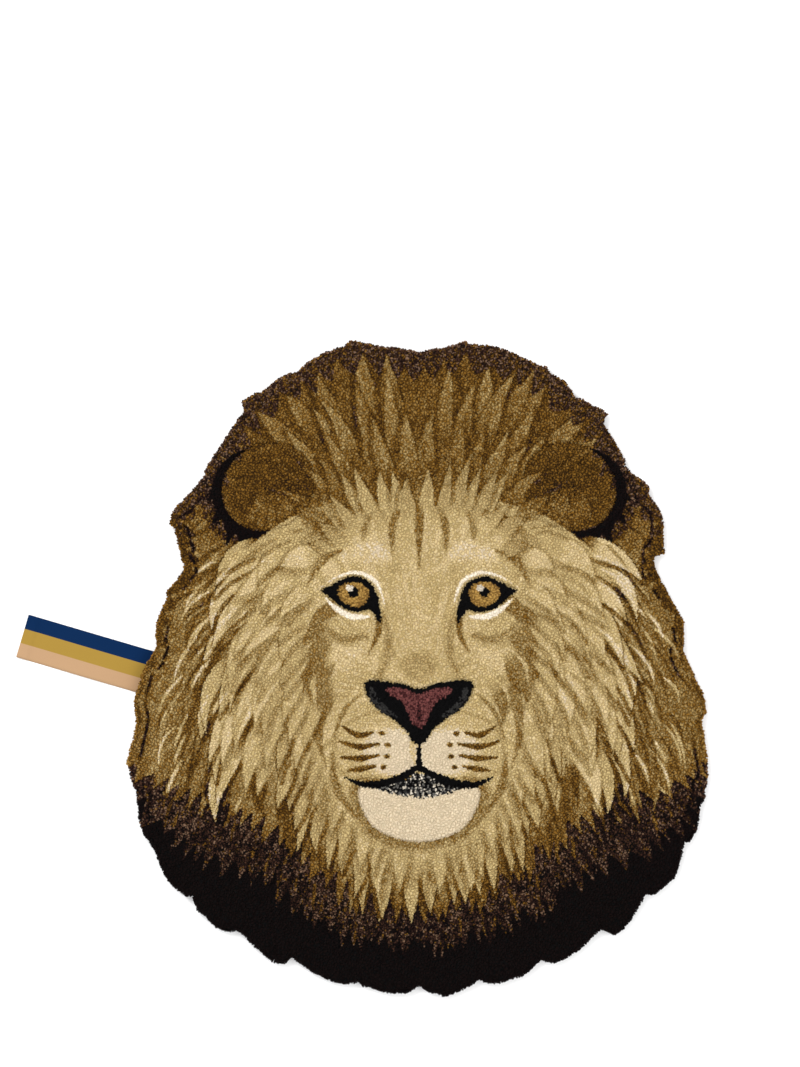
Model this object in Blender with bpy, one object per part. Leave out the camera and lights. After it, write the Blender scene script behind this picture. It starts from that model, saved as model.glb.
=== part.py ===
"""Kids' rug in the shape of a lion's head: one flat slab of cut pile with a scalloped mane for its
outline, and a woven ribbon label that is sewn under its left edge.

Metres, +Z up. The origin is the centre of the rug's underside, which rests on Z = 0, and +Y points
to the crown of the head. The outline goes once round from the crown, first down the right side.
"""
import math
from collections import namedtuple

import bmesh
import bpy
from mathutils import Matrix, Vector

# The rug.
RUG_WIDTH = 0.650
RUG_LENGTH = 0.730
LOCK_ROUNDNESS = 0.70      # power on a lock's sine: under 1 gives round tips and sharp notches
POINT_STEP = 0.0055        # between two points of the outline
SIDE_CHANGE = 0.12         # how far the left side's locks differ in width from the right side's
SIDE_WAVE = 2.1            # the angle that this change turns from one lock to the next
SIDE_PHASE = 3.0           # and at the first lock

# How far the mane reaches from the rug's middle: at the crown (0 degrees), at its fullest beside the
# crown, over the ears, at the temples, at its fullest beside the jaw, and at the beard (180).
Reach = namedtuple("Reach", "turn reach")
REACHES = (
    Reach(turn=0, reach=0.366),
    Reach(turn=15, reach=0.374),
    Reach(turn=56, reach=0.332),
    Reach(turn=69, reach=0.303),
    Reach(turn=132, reach=0.375),
    Reach(turn=162, reach=0.364),
    Reach(turn=180, reach=0.365),
)

# The mane's locks down one side, crown to beard: the share of the half turn that one takes, how
# deep its notches are, and how far its tip hangs to the lower end (1 is even).
Lock = namedtuple("Lock", "share notch droop")
LOCKS = (
    Lock(share=1.90, notch=0.008, droop=1.4),
    Lock(share=0.65, notch=0.006, droop=1.2),
    Lock(share=1.30, notch=0.005, droop=0.8),
    Lock(share=1.60, notch=0.007, droop=1.1),
    Lock(share=1.70, notch=0.009, droop=1.7),
    Lock(share=1.20, notch=0.009, droop=1.9),
    Lock(share=1.00, notch=0.006, droop=2.3),
    Lock(share=0.85, notch=0.005, droop=1.8),
    Lock(share=0.95, notch=0.008, droop=1.4),
    Lock(share=0.85, notch=0.011, droop=1.6),
    Lock(share=1.05, notch=0.011, droop=2.0),
    Lock(share=1.00, notch=0.010, droop=1.5),
    Lock(share=0.95, notch=0.010, droop=1.2),
)

# The rug's edge, from the widest line up to the pile's cut top and down to the backing cloth:
# height above the floor, and how far the edge has drawn in from the widest line there.
EdgeStep = namedtuple("EdgeStep", "height inset")
WIDEST_LOW = EdgeStep(height=0.0070, inset=0.0)
WIDEST_HIGH = EdgeStep(height=0.0110, inset=0.0)
TO_TOP = (
    EdgeStep(height=0.0136, inset=0.0010),
    EdgeStep(height=0.0153, inset=0.0030),
    EdgeStep(height=0.0160, inset=0.0060),
)
TO_BACKING = (
    EdgeStep(height=0.0020, inset=0.0034),
    EdgeStep(height=0.0, inset=0.0038),
)

# The ribbon label.
LABEL_WIDTH = 0.050
LABEL_THICKNESS = 0.0010
LABEL_SHOWN = 0.145        # outside the rug
LABEL_TAIL = 0.025         # sewn under it
LABEL_ROOT_DEG = 91.0      # where it leaves the rug, round from the crown down the left side
LABEL_HEADING_DEG = 163.6  # the way it runs, from +X
LABEL_SWELL = 0.0012       # how far it lifts off the floor halfway
HEM_LENGTH = 0.009         # turned under at the outer end
HEM_FOLD_RADIUS = 0.0007
HEM_RISE_LENGTH = 0.008
FIT_GAP = 0.0003           # between the label's tail and the pocket that it lies in

COLLECTION = "lion_head_rug"


def clear_scene():
    for obj in list(bpy.data.objects):
        bpy.data.objects.remove(obj, do_unlink=True)


def collection(name):
    made = bpy.data.collections.new(name)
    bpy.context.scene.collection.children.link(made)
    return made


def material(name, colour, roughness):
    made = bpy.data.materials.new(name)
    made.use_nodes = True
    shader = made.node_tree.nodes["Principled BSDF"]
    shader.inputs["Base Color"].default_value = (*colour, 1.0)
    shader.inputs["Roughness"].default_value = roughness
    shader.inputs["Metallic"].default_value = 0.0
    return made


def head_radius(turn):
    """Distance from the rug's middle to the mane's tips, at an angle from the crown."""
    degrees = math.degrees(turn)
    for near, far in zip(REACHES, REACHES[1:]):
        if degrees <= far.turn:
            break
    along = (degrees - near.turn) / (far.turn - near.turn)
    eased = 0.5 - 0.5 * math.cos(math.pi * along)
    return near.reach + (far.reach - near.reach) * eased


def side_locks(change):
    """The locks down one side as (start, end, lock), in radians from the crown."""
    shares = []
    for place, lock in enumerate(LOCKS):
        shares.append(lock.share * (1 + change * math.sin(SIDE_WAVE * place + SIDE_PHASE)))
    scale = math.pi / sum(shares)
    start = 0.0
    rows = []
    for lock, share in zip(LOCKS, shares):
        end = start + share * scale
        rows.append((start, end, lock))
        start = end
    return rows


def side_outline(change):
    """Points (turn, radius) down one side, from the crown's notch to just before the beard's."""
    points = []
    for start, end, lock in side_locks(change):
        middle = head_radius((start + end) / 2)
        count = max(6, round(middle * (end - start) / POINT_STEP))
        for step in range(count):
            along = step / count
            turn = start + (end - start) * along
            tip = math.sin(math.pi * along ** lock.droop) ** LOCK_ROUNDNESS if step else 0.0
            points.append((turn, head_radius(turn) - lock.notch * (1 - tip)))
    return points


def outline():
    """The widest line of the rug as (x, y) points, fitted to its width and length."""
    right = side_outline(0.0)
    left = side_outline(SIDE_CHANGE)
    beard_notch = (math.pi, head_radius(math.pi) - LOCKS[-1].notch)
    points = [(radius * math.sin(turn), radius * math.cos(turn)) for turn, radius in right]
    points.append((0.0, -beard_notch[1]))
    for turn, radius in reversed(left[1:]):
        points.append((-radius * math.sin(turn), radius * math.cos(turn)))
    low_x = min(x for x, y in points)
    low_y = min(y for x, y in points)
    scale_x = RUG_WIDTH / (max(x for x, y in points) - low_x)
    scale_y = RUG_LENGTH / (max(y for x, y in points) - low_y)
    fitted = []
    for x, y in points:
        fitted.append(((x - low_x) * scale_x - RUG_WIDTH / 2, (y - low_y) * scale_y - RUG_LENGTH / 2))
    return fitted


def draw_in(shape, face, steps, start, upward):
    """Insets a face step by step, so that the edge follows the rows of an edge table."""
    last = start
    for step in steps:
        rise = (step.height - last.height) * upward
        bmesh.ops.inset_region(
            shape,
            faces=[face],
            thickness=step.inset - last.inset,
            depth=rise,
            use_boundary=True,
            use_even_offset=True,
        )
        last = step


def make_slab(parts):
    shape = bmesh.new()
    ring = [shape.verts.new((x, y, WIDEST_LOW.height)) for x, y in outline()]
    bottom = shape.faces.new(ring)
    bottom.normal_update()
    grown = bmesh.ops.extrude_face_region(shape, geom=[bottom], use_keep_orig=True)
    raised = [item for item in grown["geom"] if isinstance(item, bmesh.types.BMVert)]
    top = next(item for item in grown["geom"] if isinstance(item, bmesh.types.BMFace))
    lift = Vector((0, 0, WIDEST_HIGH.height - WIDEST_LOW.height))
    bmesh.ops.translate(shape, verts=raised, vec=lift)
    bmesh.ops.recalc_face_normals(shape, faces=shape.faces)
    draw_in(shape, top, TO_TOP, WIDEST_HIGH, upward=1)
    draw_in(shape, bottom, TO_BACKING, WIDEST_LOW, upward=-1)
    mesh = bpy.data.meshes.new("rug")
    shape.to_mesh(mesh)
    shape.free()
    rug = bpy.data.objects.new("rug", mesh)
    rug.data.materials.append(material("pile_wool", (0.43, 0.29, 0.12), 0.95))
    parts.objects.link(rug)
    return rug


def label_place():
    """Where the label's middle line leaves the rug, and the way that it runs."""
    turn = math.radians(LABEL_ROOT_DEG)
    wanted = Vector((-math.sin(turn), math.cos(turn)))
    nearest = max(outline(), key=lambda point: Vector(point).normalized().dot(wanted))
    heading = math.radians(LABEL_HEADING_DEG)
    way = Vector((math.cos(heading), math.sin(heading), 0))
    return Vector((*nearest, 0)), way


def label_matrix():
    """Local X runs along the label, local Y is up and local Z goes across it."""
    root, way = label_place()
    up = Vector((0, 0, 1))
    turned = Matrix((way, up, way.cross(up))).transposed()
    return Matrix.Translation(root) @ turned.to_4x4()


def label_path():
    """The middle of the ribbon's thickness, as (along, height), from its tail to its hem's end."""
    flat = LABEL_THICKNESS / 2
    swell_end = LABEL_SHOWN - HEM_LENGTH - HEM_RISE_LENGTH
    path = [(-LABEL_TAIL + FIT_GAP, flat), (0.0, flat)]
    swell_steps = 12
    for step in range(1, swell_steps + 1):
        along = step / swell_steps
        path.append((swell_end * along, flat + LABEL_SWELL * math.sin(math.pi * along) ** 2))
    rise_steps = 4
    upper = flat + 2 * HEM_FOLD_RADIUS
    for step in range(1, rise_steps + 1):
        along = step / rise_steps
        eased = along * along * (3 - 2 * along)
        path.append((swell_end + HEM_RISE_LENGTH * along, flat + (upper - flat) * eased))
    fold_centre = LABEL_SHOWN - HEM_FOLD_RADIUS - flat
    fold_steps = 6
    for step in range(fold_steps + 1):
        turn = math.pi * step / fold_steps
        along = fold_centre + HEM_FOLD_RADIUS * math.sin(turn)
        path.append((along, flat + HEM_FOLD_RADIUS * (1 + math.cos(turn))))
    path.append((fold_centre - HEM_LENGTH + 2 * HEM_FOLD_RADIUS, flat))
    return path


def ribbon_section(path, thickness):
    """The closed outline of a strip of even thickness along a middle line."""
    left, right = [], []
    for place, point in enumerate(path):
        before = Vector(path[max(place - 1, 0)])
        after = Vector(path[min(place + 1, len(path) - 1)])
        way = (after - before).normalized()
        aside = Vector((-way.y, way.x)) * (thickness / 2)
        left.append(Vector(point) + aside)
        right.append(Vector(point) - aside)
    return left + right[::-1]


def make_label(parts):
    curve = bpy.data.curves.new("ribbon_label", "CURVE")
    curve.dimensions = "2D"
    curve.fill_mode = "BOTH"
    curve.extrude = LABEL_WIDTH / 2
    section = ribbon_section(label_path(), LABEL_THICKNESS)
    spline = curve.splines.new("POLY")
    spline.points.add(len(section) - 1)
    for point, place in zip(spline.points, section):
        point.co = (place.x, place.y, 0, 1)
    spline.use_cyclic_u = True
    label = bpy.data.objects.new("ribbon_label", curve)
    label.matrix_world = label_matrix()
    label.data.materials.append(material("woven_ribbon", (0.62, 0.38, 0.16), 0.6))
    parts.objects.link(label)
    return label


def cut_label_pocket(rug, cutters):
    """The label's tail lies in a shallow pocket between the backing cloth and the floor."""
    ceiling = LABEL_THICKNESS + FIT_GAP
    below = 0.003
    outside = 0.030
    size = Vector((LABEL_TAIL + outside, ceiling + below, LABEL_WIDTH + 2 * FIT_GAP))
    middle = Vector(((outside - LABEL_TAIL) / 2, (ceiling - below) / 2, 0))
    shape = bmesh.new()
    bmesh.ops.create_cube(shape, size=1.0)
    bmesh.ops.scale(shape, vec=size, verts=shape.verts)
    bmesh.ops.translate(shape, vec=middle, verts=shape.verts)
    bmesh.ops.transform(shape, matrix=label_matrix(), verts=shape.verts)
    mesh = bpy.data.meshes.new("label_pocket")
    shape.to_mesh(mesh)
    shape.free()
    pocket = bpy.data.objects.new("label_pocket", mesh)
    pocket.hide_render = True
    pocket.display_type = "WIRE"
    cutters.objects.link(pocket)
    cut = rug.modifiers.new("label_pocket", "BOOLEAN")
    cut.operation = "DIFFERENCE"
    cut.solver = "EXACT"
    cut.object = pocket


def main():
    clear_scene()
    parts = collection(COLLECTION)
    cutters = collection("cutters")
    rug = make_slab(parts)
    make_label(parts)
    cut_label_pocket(rug, cutters)


main()
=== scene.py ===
"""Looks of the lion-head kids' rug: a dense cut pile of some hundred and thirty thousand yarn ends,
each in its own dyed colour, on a backing cloth, with a striped woven ribbon sewn under the left edge.

Metres. The origin is the middle of the rug's underside, +Y points to the crown and +Z up. The
picture in the pile is a plain lion's head. It is drawn as brightness, from the mane's ground up to
the eyes, nose and mouth, and each yarn end then takes the dyed yarn nearest to its place's brightness.
"""

import math
from collections import namedtuple

import bmesh
import bpy
import numpy as np
from mathutils import Matrix, Vector


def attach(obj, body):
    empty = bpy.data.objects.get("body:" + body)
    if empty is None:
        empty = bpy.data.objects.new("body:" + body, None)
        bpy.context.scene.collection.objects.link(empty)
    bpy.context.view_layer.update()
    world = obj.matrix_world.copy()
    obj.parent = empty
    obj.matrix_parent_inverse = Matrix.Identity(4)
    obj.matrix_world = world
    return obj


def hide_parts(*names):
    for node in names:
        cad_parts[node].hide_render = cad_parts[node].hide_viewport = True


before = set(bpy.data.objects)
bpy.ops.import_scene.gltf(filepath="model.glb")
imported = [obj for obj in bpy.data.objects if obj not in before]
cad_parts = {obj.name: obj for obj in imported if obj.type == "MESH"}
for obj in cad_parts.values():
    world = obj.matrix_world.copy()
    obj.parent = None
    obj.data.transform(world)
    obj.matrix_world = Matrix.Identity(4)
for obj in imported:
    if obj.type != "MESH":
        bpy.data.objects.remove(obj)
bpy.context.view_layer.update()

SIDES = (-1, 1)
FAR = 9.0                    # farther than anything on the rug

# ---------------------------------------------------------------- the pile's sizes
PITCH = 0.0018               # between neighbouring yarn ends
ROWS_TURN = 0.3              # of the rows of yarn ends, in radians
CORNER_JITTER = 0.20         # how far the ends' corners stray, in pitches
END_JITTER = 0.12            # how far their middles stray, in pitches
EDGE_MARGIN = 0.3            # the least distance of an end from the outline, in pitches
BUNDLE_PITCH = 0.0034        # between the bundles of ends that one stroke of the tufting gun sets
BUNDLES_TURN = 1.05
BUNDLE_JITTER = 0.75         # how far the bundles stray, in bundle pitches
BUNDLE_RADII = (1.3, 0.8)    # how much longer and narrower than round the bundles are
BUNDLE_LEAN = 0.0004
BUNDLE_RISE = 0.0004         # the bundles' ends are this much higher or lower
END_RISE = 0.00015
GAP_DEPTH = 0.0016           # of the gaps between bundles
DIP_DEPTH = 0.0004           # of the dips inside a bundle
EDGE_DEPTH = 0.0050          # of the pile's outermost corners
CARVE_DEPTH = 0.0026
DIP_PAINTED_SHADE = 0.92             # painted shade: the yarn's colour darkened in the dips, as a share of its ends' colour
# Painted shade in the gaps between bundles: the same kind of share, by the yarn's brightness.
GAP_PAINTED_SHADES = {0.10: 0.24, 0.27: 0.27, 0.40: 0.38, 0.66: 0.63, 0.82: 0.80}
DYE_LOWEST = 0.93            # a yarn end's colour, as a share of its dye's: the least, and the spread
DYE_SPREAD = 0.14
PILE_BANDS = ("pile_crown", "pile_brow", "pile_cheeks", "pile_muzzle", "pile_beard")

# The height of the pile's cut top, by the distance from the outline: it follows the slab's rounded edge.
TOP_HEIGHTS = {0.0: 0.0112, 0.0010: 0.0134, 0.0030: 0.0150, 0.0060: 0.0157}
TOP_SWELL = 0.0006           # how uneven the cut top is
WIDEST_HEIGHT = 0.0110       # of the slab's widest line
COLOUR_DEPTH = 0.0015        # how far inside the outline the rim's yarns take their colours

# ---------------------------------------------------------------- yarns
# Display colours of the dyed yarns, from dark to light.
WARM_YARNS = (
    (0.022, 0.019, 0.021), (0.085, 0.056, 0.040), (0.175, 0.112, 0.050), (0.275, 0.180, 0.047),
    (0.37, 0.251, 0.070), (0.468, 0.330, 0.115), (0.54, 0.412, 0.202), (0.60, 0.495, 0.297),
    (0.68, 0.585, 0.39), (0.745, 0.655, 0.455), (0.81, 0.725, 0.55), (0.83, 0.765, 0.655),
    (0.91, 0.87, 0.80),
)
COOL_YARNS = (
    (0.050, 0.018, 0.016), (0.14, 0.075, 0.055), (0.24, 0.155, 0.112), (0.44, 0.34, 0.265),
    (0.57, 0.475, 0.39),
)
DYED = {
    "rose": (0.44, 0.25, 0.24),
    "wine": (0.27, 0.13, 0.13),
    "slate": (0.19, 0.185, 0.18),
    "amber": (0.66, 0.52, 0.27),
    "honey": (0.52, 0.39, 0.19),
    "black": (0.022, 0.019, 0.021),
    "ash": (0.42, 0.41, 0.39),
    "chalk": (0.84, 0.80, 0.73),
}
DYED_NAMES = list(DYED)
LUMINANCE = (0.299, 0.587, 0.114)
# By the brightness of a place: how far its yarns stray from it, and the share of cool yarns in it.
STRAYS = {0.04: 0.008, 0.08: 0.05, 0.15: 0.20, 0.26: 0.10, 0.34: 0.12, 0.45: 0.12, 0.60: 0.055, 0.80: 0.01}
COOL_SHARES = {0.0: 0.85, 0.20: 0.85, 0.24: 0.0}


def table_of(kind, *entries):
    """The rows of a table, whose columns kind names."""
    return [kind(*entry) for entry in entries]


def read(table, places):
    """A table's values at places between its entries."""
    return np.interp(places, list(table), list(table.values()))


def linear(colour):
    """A display colour as the linear values that shaders and colour attributes hold."""
    shown = np.asarray(colour, float)
    return np.where(shown <= 0.04045, shown / 12.92, ((shown + 0.055) / 1.055) ** 2.4)


# ---------------------------------------------------------------- the rug's outline
HAIR_ROOT = (0.0, 0.030)     # the mane's hair grows away from here


def from_crown(x, y):
    """Points' turns from the crown round the hair's root, in radians."""
    return np.arctan2(x - HAIR_ROOT[0], y - HAIR_ROOT[1])


def slab_outline():
    """The rug's widest line, once round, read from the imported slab."""
    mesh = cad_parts["rug"].data
    places = np.array([vertex.co[:] for vertex in mesh.vertices])
    level = np.abs(places[:, 2] - WIDEST_HEIGHT) < 1e-4
    ring = np.unique(np.round(places[level, :2], 6), axis=0)
    return ring[np.argsort(np.arctan2(ring[:, 0], ring[:, 1]))]


def edge_distance(x, y, ring):
    """How far inside a closed ring each point lies; negative outside."""
    gap = np.full(len(x), FAR)
    within = np.zeros(len(x), bool)
    for start, end in zip(ring, np.roll(ring, -1, axis=0)):
        way = end - start
        share = ((x - start[0]) * way[0] + (y - start[1]) * way[1]) / (way @ way + 1e-15)
        share = np.clip(share, 0, 1)
        gap = np.minimum(gap, np.hypot(x - start[0] - way[0] * share, y - start[1] - way[1] * share))
        spans = (start[1] > y) != (end[1] > y)
        crossing = start[0] + (y - start[1]) / (way[1] + 1e-15) * way[0]
        within ^= spans & (x < crossing)
    return np.where(within, gap, -gap)


def outward_normals(ring):
    """The outward direction at each point of a ring that runs clockwise from above."""
    way = np.roll(ring, -1, axis=0) - np.roll(ring, 1, axis=0)
    normal = np.c_[-way[:, 1], way[:, 0]]
    return normal / np.linalg.norm(normal, axis=1)[:, None]


def along_ring(ring, distances):
    """Points and outward directions at distances along a ring."""
    closed = np.vstack([ring, ring[:1]])
    normals = outward_normals(ring)
    normals = np.vstack([normals, normals[:1]])
    run = np.r_[0, np.cumsum(np.linalg.norm(np.diff(closed, axis=0), axis=1))]
    places = np.c_[np.interp(distances, run, closed[:, 0]), np.interp(distances, run, closed[:, 1])]
    turned = np.c_[np.interp(distances, run, normals[:, 0]), np.interp(distances, run, normals[:, 1])]
    return places, turned / np.linalg.norm(turned, axis=1)[:, None]


# Pointed tufts along the rim, which lean down from the crown: the side they are on, their tip's turn
# from the crown and their long upper flank, both in degrees, and how far they stand out.
RimTuft = namedtuple("RimTuft", "side turn flank rise")
RIM_TUFTS = table_of(
    RimTuft,
    (-1, 13, 5, 0.0060), (-1, 36, 8, 0.0115), (-1, 51, 6, 0.0055),
    (-1, 64, 8, 0.0080), (-1, 79, 6, 0.0050), (-1, 97, 8, 0.0025),
    (-1, 113, 7, 0.0045), (-1, 127, 5, 0.0035), (-1, 141, 6, 0.0045),
    (-1, 157, 5, 0.0040), (-1, 171, 6, 0.0030),
    (1, 9, 5, 0.0050), (1, 25, 6, 0.0080), (1, 39, 7, 0.0110),
    (1, 56, 6, 0.0060), (1, 69, 7, 0.0075), (1, 86, 6, 0.0035),
    (1, 104, 8, 0.0030), (1, 119, 6, 0.0050), (1, 133, 6, 0.0030),
    (1, 146, 5, 0.0050), (1, 163, 6, 0.0035), (1, 176, 4, 0.0030),
)
TUFT_DROP = 1.1              # degrees of a tuft's short lower flank
TUFT_POINT = 1.5             # power on a tuft's flanks: over 1 makes them hollow
RING_STEP = 0.0025


def tufted_outline(slab):
    """The slab's outline, drawn with close points and with the tufts on it."""
    length = ring_length(slab)
    ring, normals = along_ring(slab, np.arange(0, length, RING_STEP))
    turn = np.degrees(from_crown(*ring.T))
    rise = np.zeros(len(ring))
    for tuft in RIM_TUFTS:
        past = turn * tuft.side - tuft.turn
        flank = 1 - np.maximum(-past / tuft.flank, past / TUFT_DROP)
        rise = np.maximum(rise, tuft.rise * np.clip(flank, 0, 1) ** TUFT_POINT)
    return ring + normals * rise[:, None]


def ring_length(ring):
    return float(np.linalg.norm(np.roll(ring, -1, axis=0) - ring, axis=1).sum())


# ---------------------------------------------------------------- drawing in tufts
NOISE_GRID = (97, 89)


def ramp(share):
    """0 to 1, with both ends eased."""
    share = np.clip(share, 0, 1)
    return share * share * (3 - 2 * share)


def noise(u, v, seed):
    """Smooth noise from 0 to 1 over a unit grid."""
    table = np.random.default_rng(seed).random(NOISE_GRID)
    left = np.floor(u).astype(int)
    low = np.floor(v).astype(int)
    across = ramp(u - left)
    along = ramp(v - low)

    def on_row(row):
        row = row % NOISE_GRID[1]
        near = table[left % NOISE_GRID[0], row]
        return near * (1 - across) + table[(left + 1) % NOISE_GRID[0], row] * across

    return on_row(low) * (1 - along) + on_row(low + 1) * along


def noise_along(u, row, seed):
    """Smooth noise from 0 to 1 along one row of the grid."""
    return noise(u, np.full_like(u, row), seed)


def smooth_line(points, per_span=6):
    """A smooth open line through a few points (Catmull-Rom)."""
    places = np.array(points, float)
    ends = np.vstack([2 * places[0] - places[1], places, 2 * places[-1] - places[-2]])
    share = (np.arange(per_span) / per_span)[:, None]
    runs = []
    for before, start, end, after in zip(ends, ends[1:], ends[2:], ends[3:]):
        bend = 2 * before - 5 * start + 4 * end - after
        twist = 3 * start - before - 3 * end + after
        runs.append(start + 0.5 * ((end - before) * share + bend * share ** 2 + twist * share ** 3))
    return np.vstack(runs + [places[-1:]])


def smooth_ring(points, per_span=6):
    """A smooth closed line through a few points."""
    places = list(points)
    wrapped = places[-2:] + places + places[:2]
    line = smooth_line(wrapped, per_span)
    return line[2 * per_span:-per_span - 1]


def mirrored(points, side):
    return [(x * side, y) for x, y in points]


def whole(right_half):
    """A closed outline from its right half, listed from the top down."""
    left_half = [(-x, y) for x, y in reversed(right_half) if x > 1e-6]
    return list(right_half) + left_half


SPECKLE = 0.35               # how far the borders are speckled with yarn ends, not shaded evenly
LONE_ENDS = 0.6              # the share of the yarn ends that differ from their bundle


class Pile:
    """The yarn ends' places, the bundle each belongs to, and what the drawing asks of each: its
    brightness, a dyed yarn of its own, and how short it is cut."""

    def __init__(self, x, y, edge, bundle):
        self.x = x
        self.y = y
        self.edge = edge
        self.bundle = bundle
        self.rng = np.random.default_rng(7)
        self.tone = np.zeros(len(x))
        self.dyed = np.full(len(x), -1)
        self.cut = np.zeros(len(x))

    def chance(self):
        """A random number from 0 to 1 for each end, which some ends share with their bundle."""
        count = len(self.bundle)
        shared = self.rng.random(self.bundle.max() + 1)[self.bundle]
        return np.where(self.rng.random(count) < LONE_ENDS, self.rng.random(count), shared)

    def blend(self, weight):
        """A share that is partly even and partly bundles of one yarn among bundles of the other."""
        return (1 - SPECKLE) * weight + SPECKLE * (self.chance() < weight)

    def shade(self, inside, tone, soft=0.002, amount=1.0):
        """Brings a shape, with a border of width soft, to a brightness."""
        weight = self.blend(ramp(0.5 + inside / soft) * amount)
        self.tone += (tone - self.tone) * weight

    def scale(self, inside, factor, soft=0.002, amount=1.0):
        """Makes a shape lighter or darker and keeps its pattern."""
        weight = ramp(0.5 + inside / soft) * amount
        self.tone *= 1 + (factor - 1) * weight

    def dye(self, mix, inside, soft=0.0015):
        """Gives a shape dyed yarns, by their shares."""
        hit = self.chance() < np.clip(0.5 + inside / soft, 0, 1)
        bounds = np.cumsum(list(mix.values()))
        yarns = np.array([DYED_NAMES.index(name) for name in mix] + [-1])
        draw = yarns[np.searchsorted(bounds / bounds[-1], self.chance())]
        self.dyed = np.where(hit, draw, self.dyed)

    def carve(self, inside, width=0.0012):
        """Cuts the pile shorter along the border of a shape."""
        self.cut = np.maximum(self.cut, np.clip(1.4 - np.abs(inside) / width, 0, 1))

    def ellipse(self, centre, radii, tilt=0.0):
        """How far inside an ellipse each end is. tilt is in degrees, anticlockwise."""
        turn = math.radians(tilt)
        across = self.x - centre[0]
        along = self.y - centre[1]
        u = across * math.cos(turn) + along * math.sin(turn)
        v = along * math.cos(turn) - across * math.sin(turn)
        return (1 - np.hypot(u / radii[0], v / radii[1])) * min(radii)

    def near(self, path, margin):
        low = path.min(0) - margin
        high = path.max(0) + margin
        beside = (self.x > low[0]) & (self.x < high[0])
        return np.flatnonzero(beside & (self.y > low[1]) & (self.y < high[1]))

    def follow(self, points, widths):
        """The ends near a tapered line, with how far inside it they are, how far along it (0 to 1)
        and how far to its left. widths are the line's full widths, evenly spaced."""
        path = smooth_line(points)
        spread = np.linspace(0, 1, len(path))
        half = np.interp(spread, np.linspace(0, 1, len(widths)), widths) / 2
        ends = self.near(path, half.max() + 0.010)
        spots = np.c_[self.x[ends], self.y[ends]][:, None]
        ways = np.diff(path, axis=0)[None]
        reach = spots - path[None, :-1]
        share = np.clip((reach * ways).sum(2) / (ways * ways).sum(2), 0, 1)
        gap = np.hypot(*np.moveaxis(reach - ways * share[..., None], 2, 0))
        inside = half[None, :-1] + (half[1:] - half[:-1])[None] * share - gap
        best = inside.argmax(1)
        rows = np.arange(len(ends))
        along = (best + share[rows, best]) / (len(path) - 1)
        way = ways[0, best]
        left = way[:, 0] * reach[rows, best, 1] - way[:, 1] * reach[rows, best, 0]
        return ends, inside[rows, best], along, left / np.hypot(*way.T)

    def line(self, points, widths):
        """How far inside a tapered line each end is."""
        result = np.full(len(self.x), -1.0)
        ends, inside, _, _ = self.follow(points, widths)
        result[ends] = inside
        return result

    def patch(self, points):
        """How far inside a smooth closed outline each end is."""
        ring = smooth_ring(points)
        result = np.full(len(self.x), -1.0)
        ends = self.near(ring, 0.030)
        result[ends] = edge_distance(self.x[ends], self.y[ends], ring)
        return result

    def colours(self):
        """Each end's linear colour: the dyed yarn nearest to a brightness that strays a little."""
        tone = self.tone + read(STRAYS, self.tone) * (2 * self.chance() - 1)
        cool = self.chance() < read(COOL_SHARES, self.tone)
        colours = np.where(cool[:, None], nearest_yarn(tone, COOL_YARNS), nearest_yarn(tone, WARM_YARNS))
        dyed = linear(np.array(list(DYED.values())))[self.dyed]
        colours = np.where((self.dyed >= 0)[:, None], dyed, colours)
        return colours * (DYE_LOWEST + DYE_SPREAD * self.chance())[:, None]


def nearest_yarn(tone, yarns):
    shown = np.array(yarns)
    brightness = shown @ LUMINANCE
    borders = (brightness[1:] + brightness[:-1]) / 2
    return linear(shown)[np.searchsorted(borders, tone)]


# ---------------------------------------------------------------- the mane
FACE = (
    (0.0, 0.192), (0.052, 0.190), (0.094, 0.164), (0.122, 0.116), (0.138, 0.060), (0.144, 0.000),
    (0.134, -0.060), (0.112, -0.115), (0.086, -0.165), (0.045, -0.200), (0.0, -0.210),
)
# Radians that the hair leans down to the beard, by its turn from the crown in degrees.
HAIR_LEANS = {
    0: 0.0, 30: 0.15, 40: 0.30, 46: 1.00, 52: 1.35, 66: 1.30, 84: 1.20, 105: 1.00, 130: 0.66, 150: 0.36,
    180: 0.0,
}

# The mane's brightness: a row for each turn from the crown, in degrees, and along it from the
# face's edge (0) to the rim (1).
MANE_REACHES = (0.0, 0.20, 0.35, 0.45, 0.55, 0.70, 0.85, 1.0)
MANE_TONES = {
    0: (0.37, 0.38, 0.34, 0.33, 0.33, 0.33, 0.33, 0.32),
    30: (0.39, 0.39, 0.35, 0.34, 0.34, 0.34, 0.34, 0.33),
    42: (0.58, 0.46, 0.38, 0.36, 0.35, 0.35, 0.35, 0.34),
    54: (0.68, 0.66, 0.56, 0.44, 0.38, 0.37, 0.37, 0.36),
    80: (0.69, 0.67, 0.60, 0.50, 0.45, 0.44, 0.43, 0.41),
    100: (0.69, 0.68, 0.62, 0.51, 0.46, 0.44, 0.43, 0.41),
    114: (0.69, 0.68, 0.62, 0.53, 0.46, 0.44, 0.43, 0.40),
    130: (0.69, 0.67, 0.55, 0.46, 0.42, 0.40, 0.38, 0.38),
    146: (0.67, 0.60, 0.42, 0.40, 0.40, 0.40, 0.40, 0.40),
    180: (0.67, 0.56, 0.42, 0.40, 0.40, 0.40, 0.40, 0.40),
}
# The two dark bands of the beard, from the sides down: each one's brightness, and where it begins, from
# the face (0) to the rim (1), by the turn from the crown in degrees.
BeardBand = namedtuple("BeardBand", "tone borders")
BEARD_BANDS = table_of(
    BeardBand,
    (0.155, {108: 1.15, 116: 0.93, 124: 0.68, 134: 0.50, 146: 0.38, 180: 0.36}),
    (0.020, {112: 1.15, 120: 0.98, 127: 0.90, 134: 0.80, 146: 0.64, 180: 0.66}),
)
BEARD_STRANDS = 105          # strands of hair in the browner band, per radian
STRAND_CONTRAST = 0.85


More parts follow.
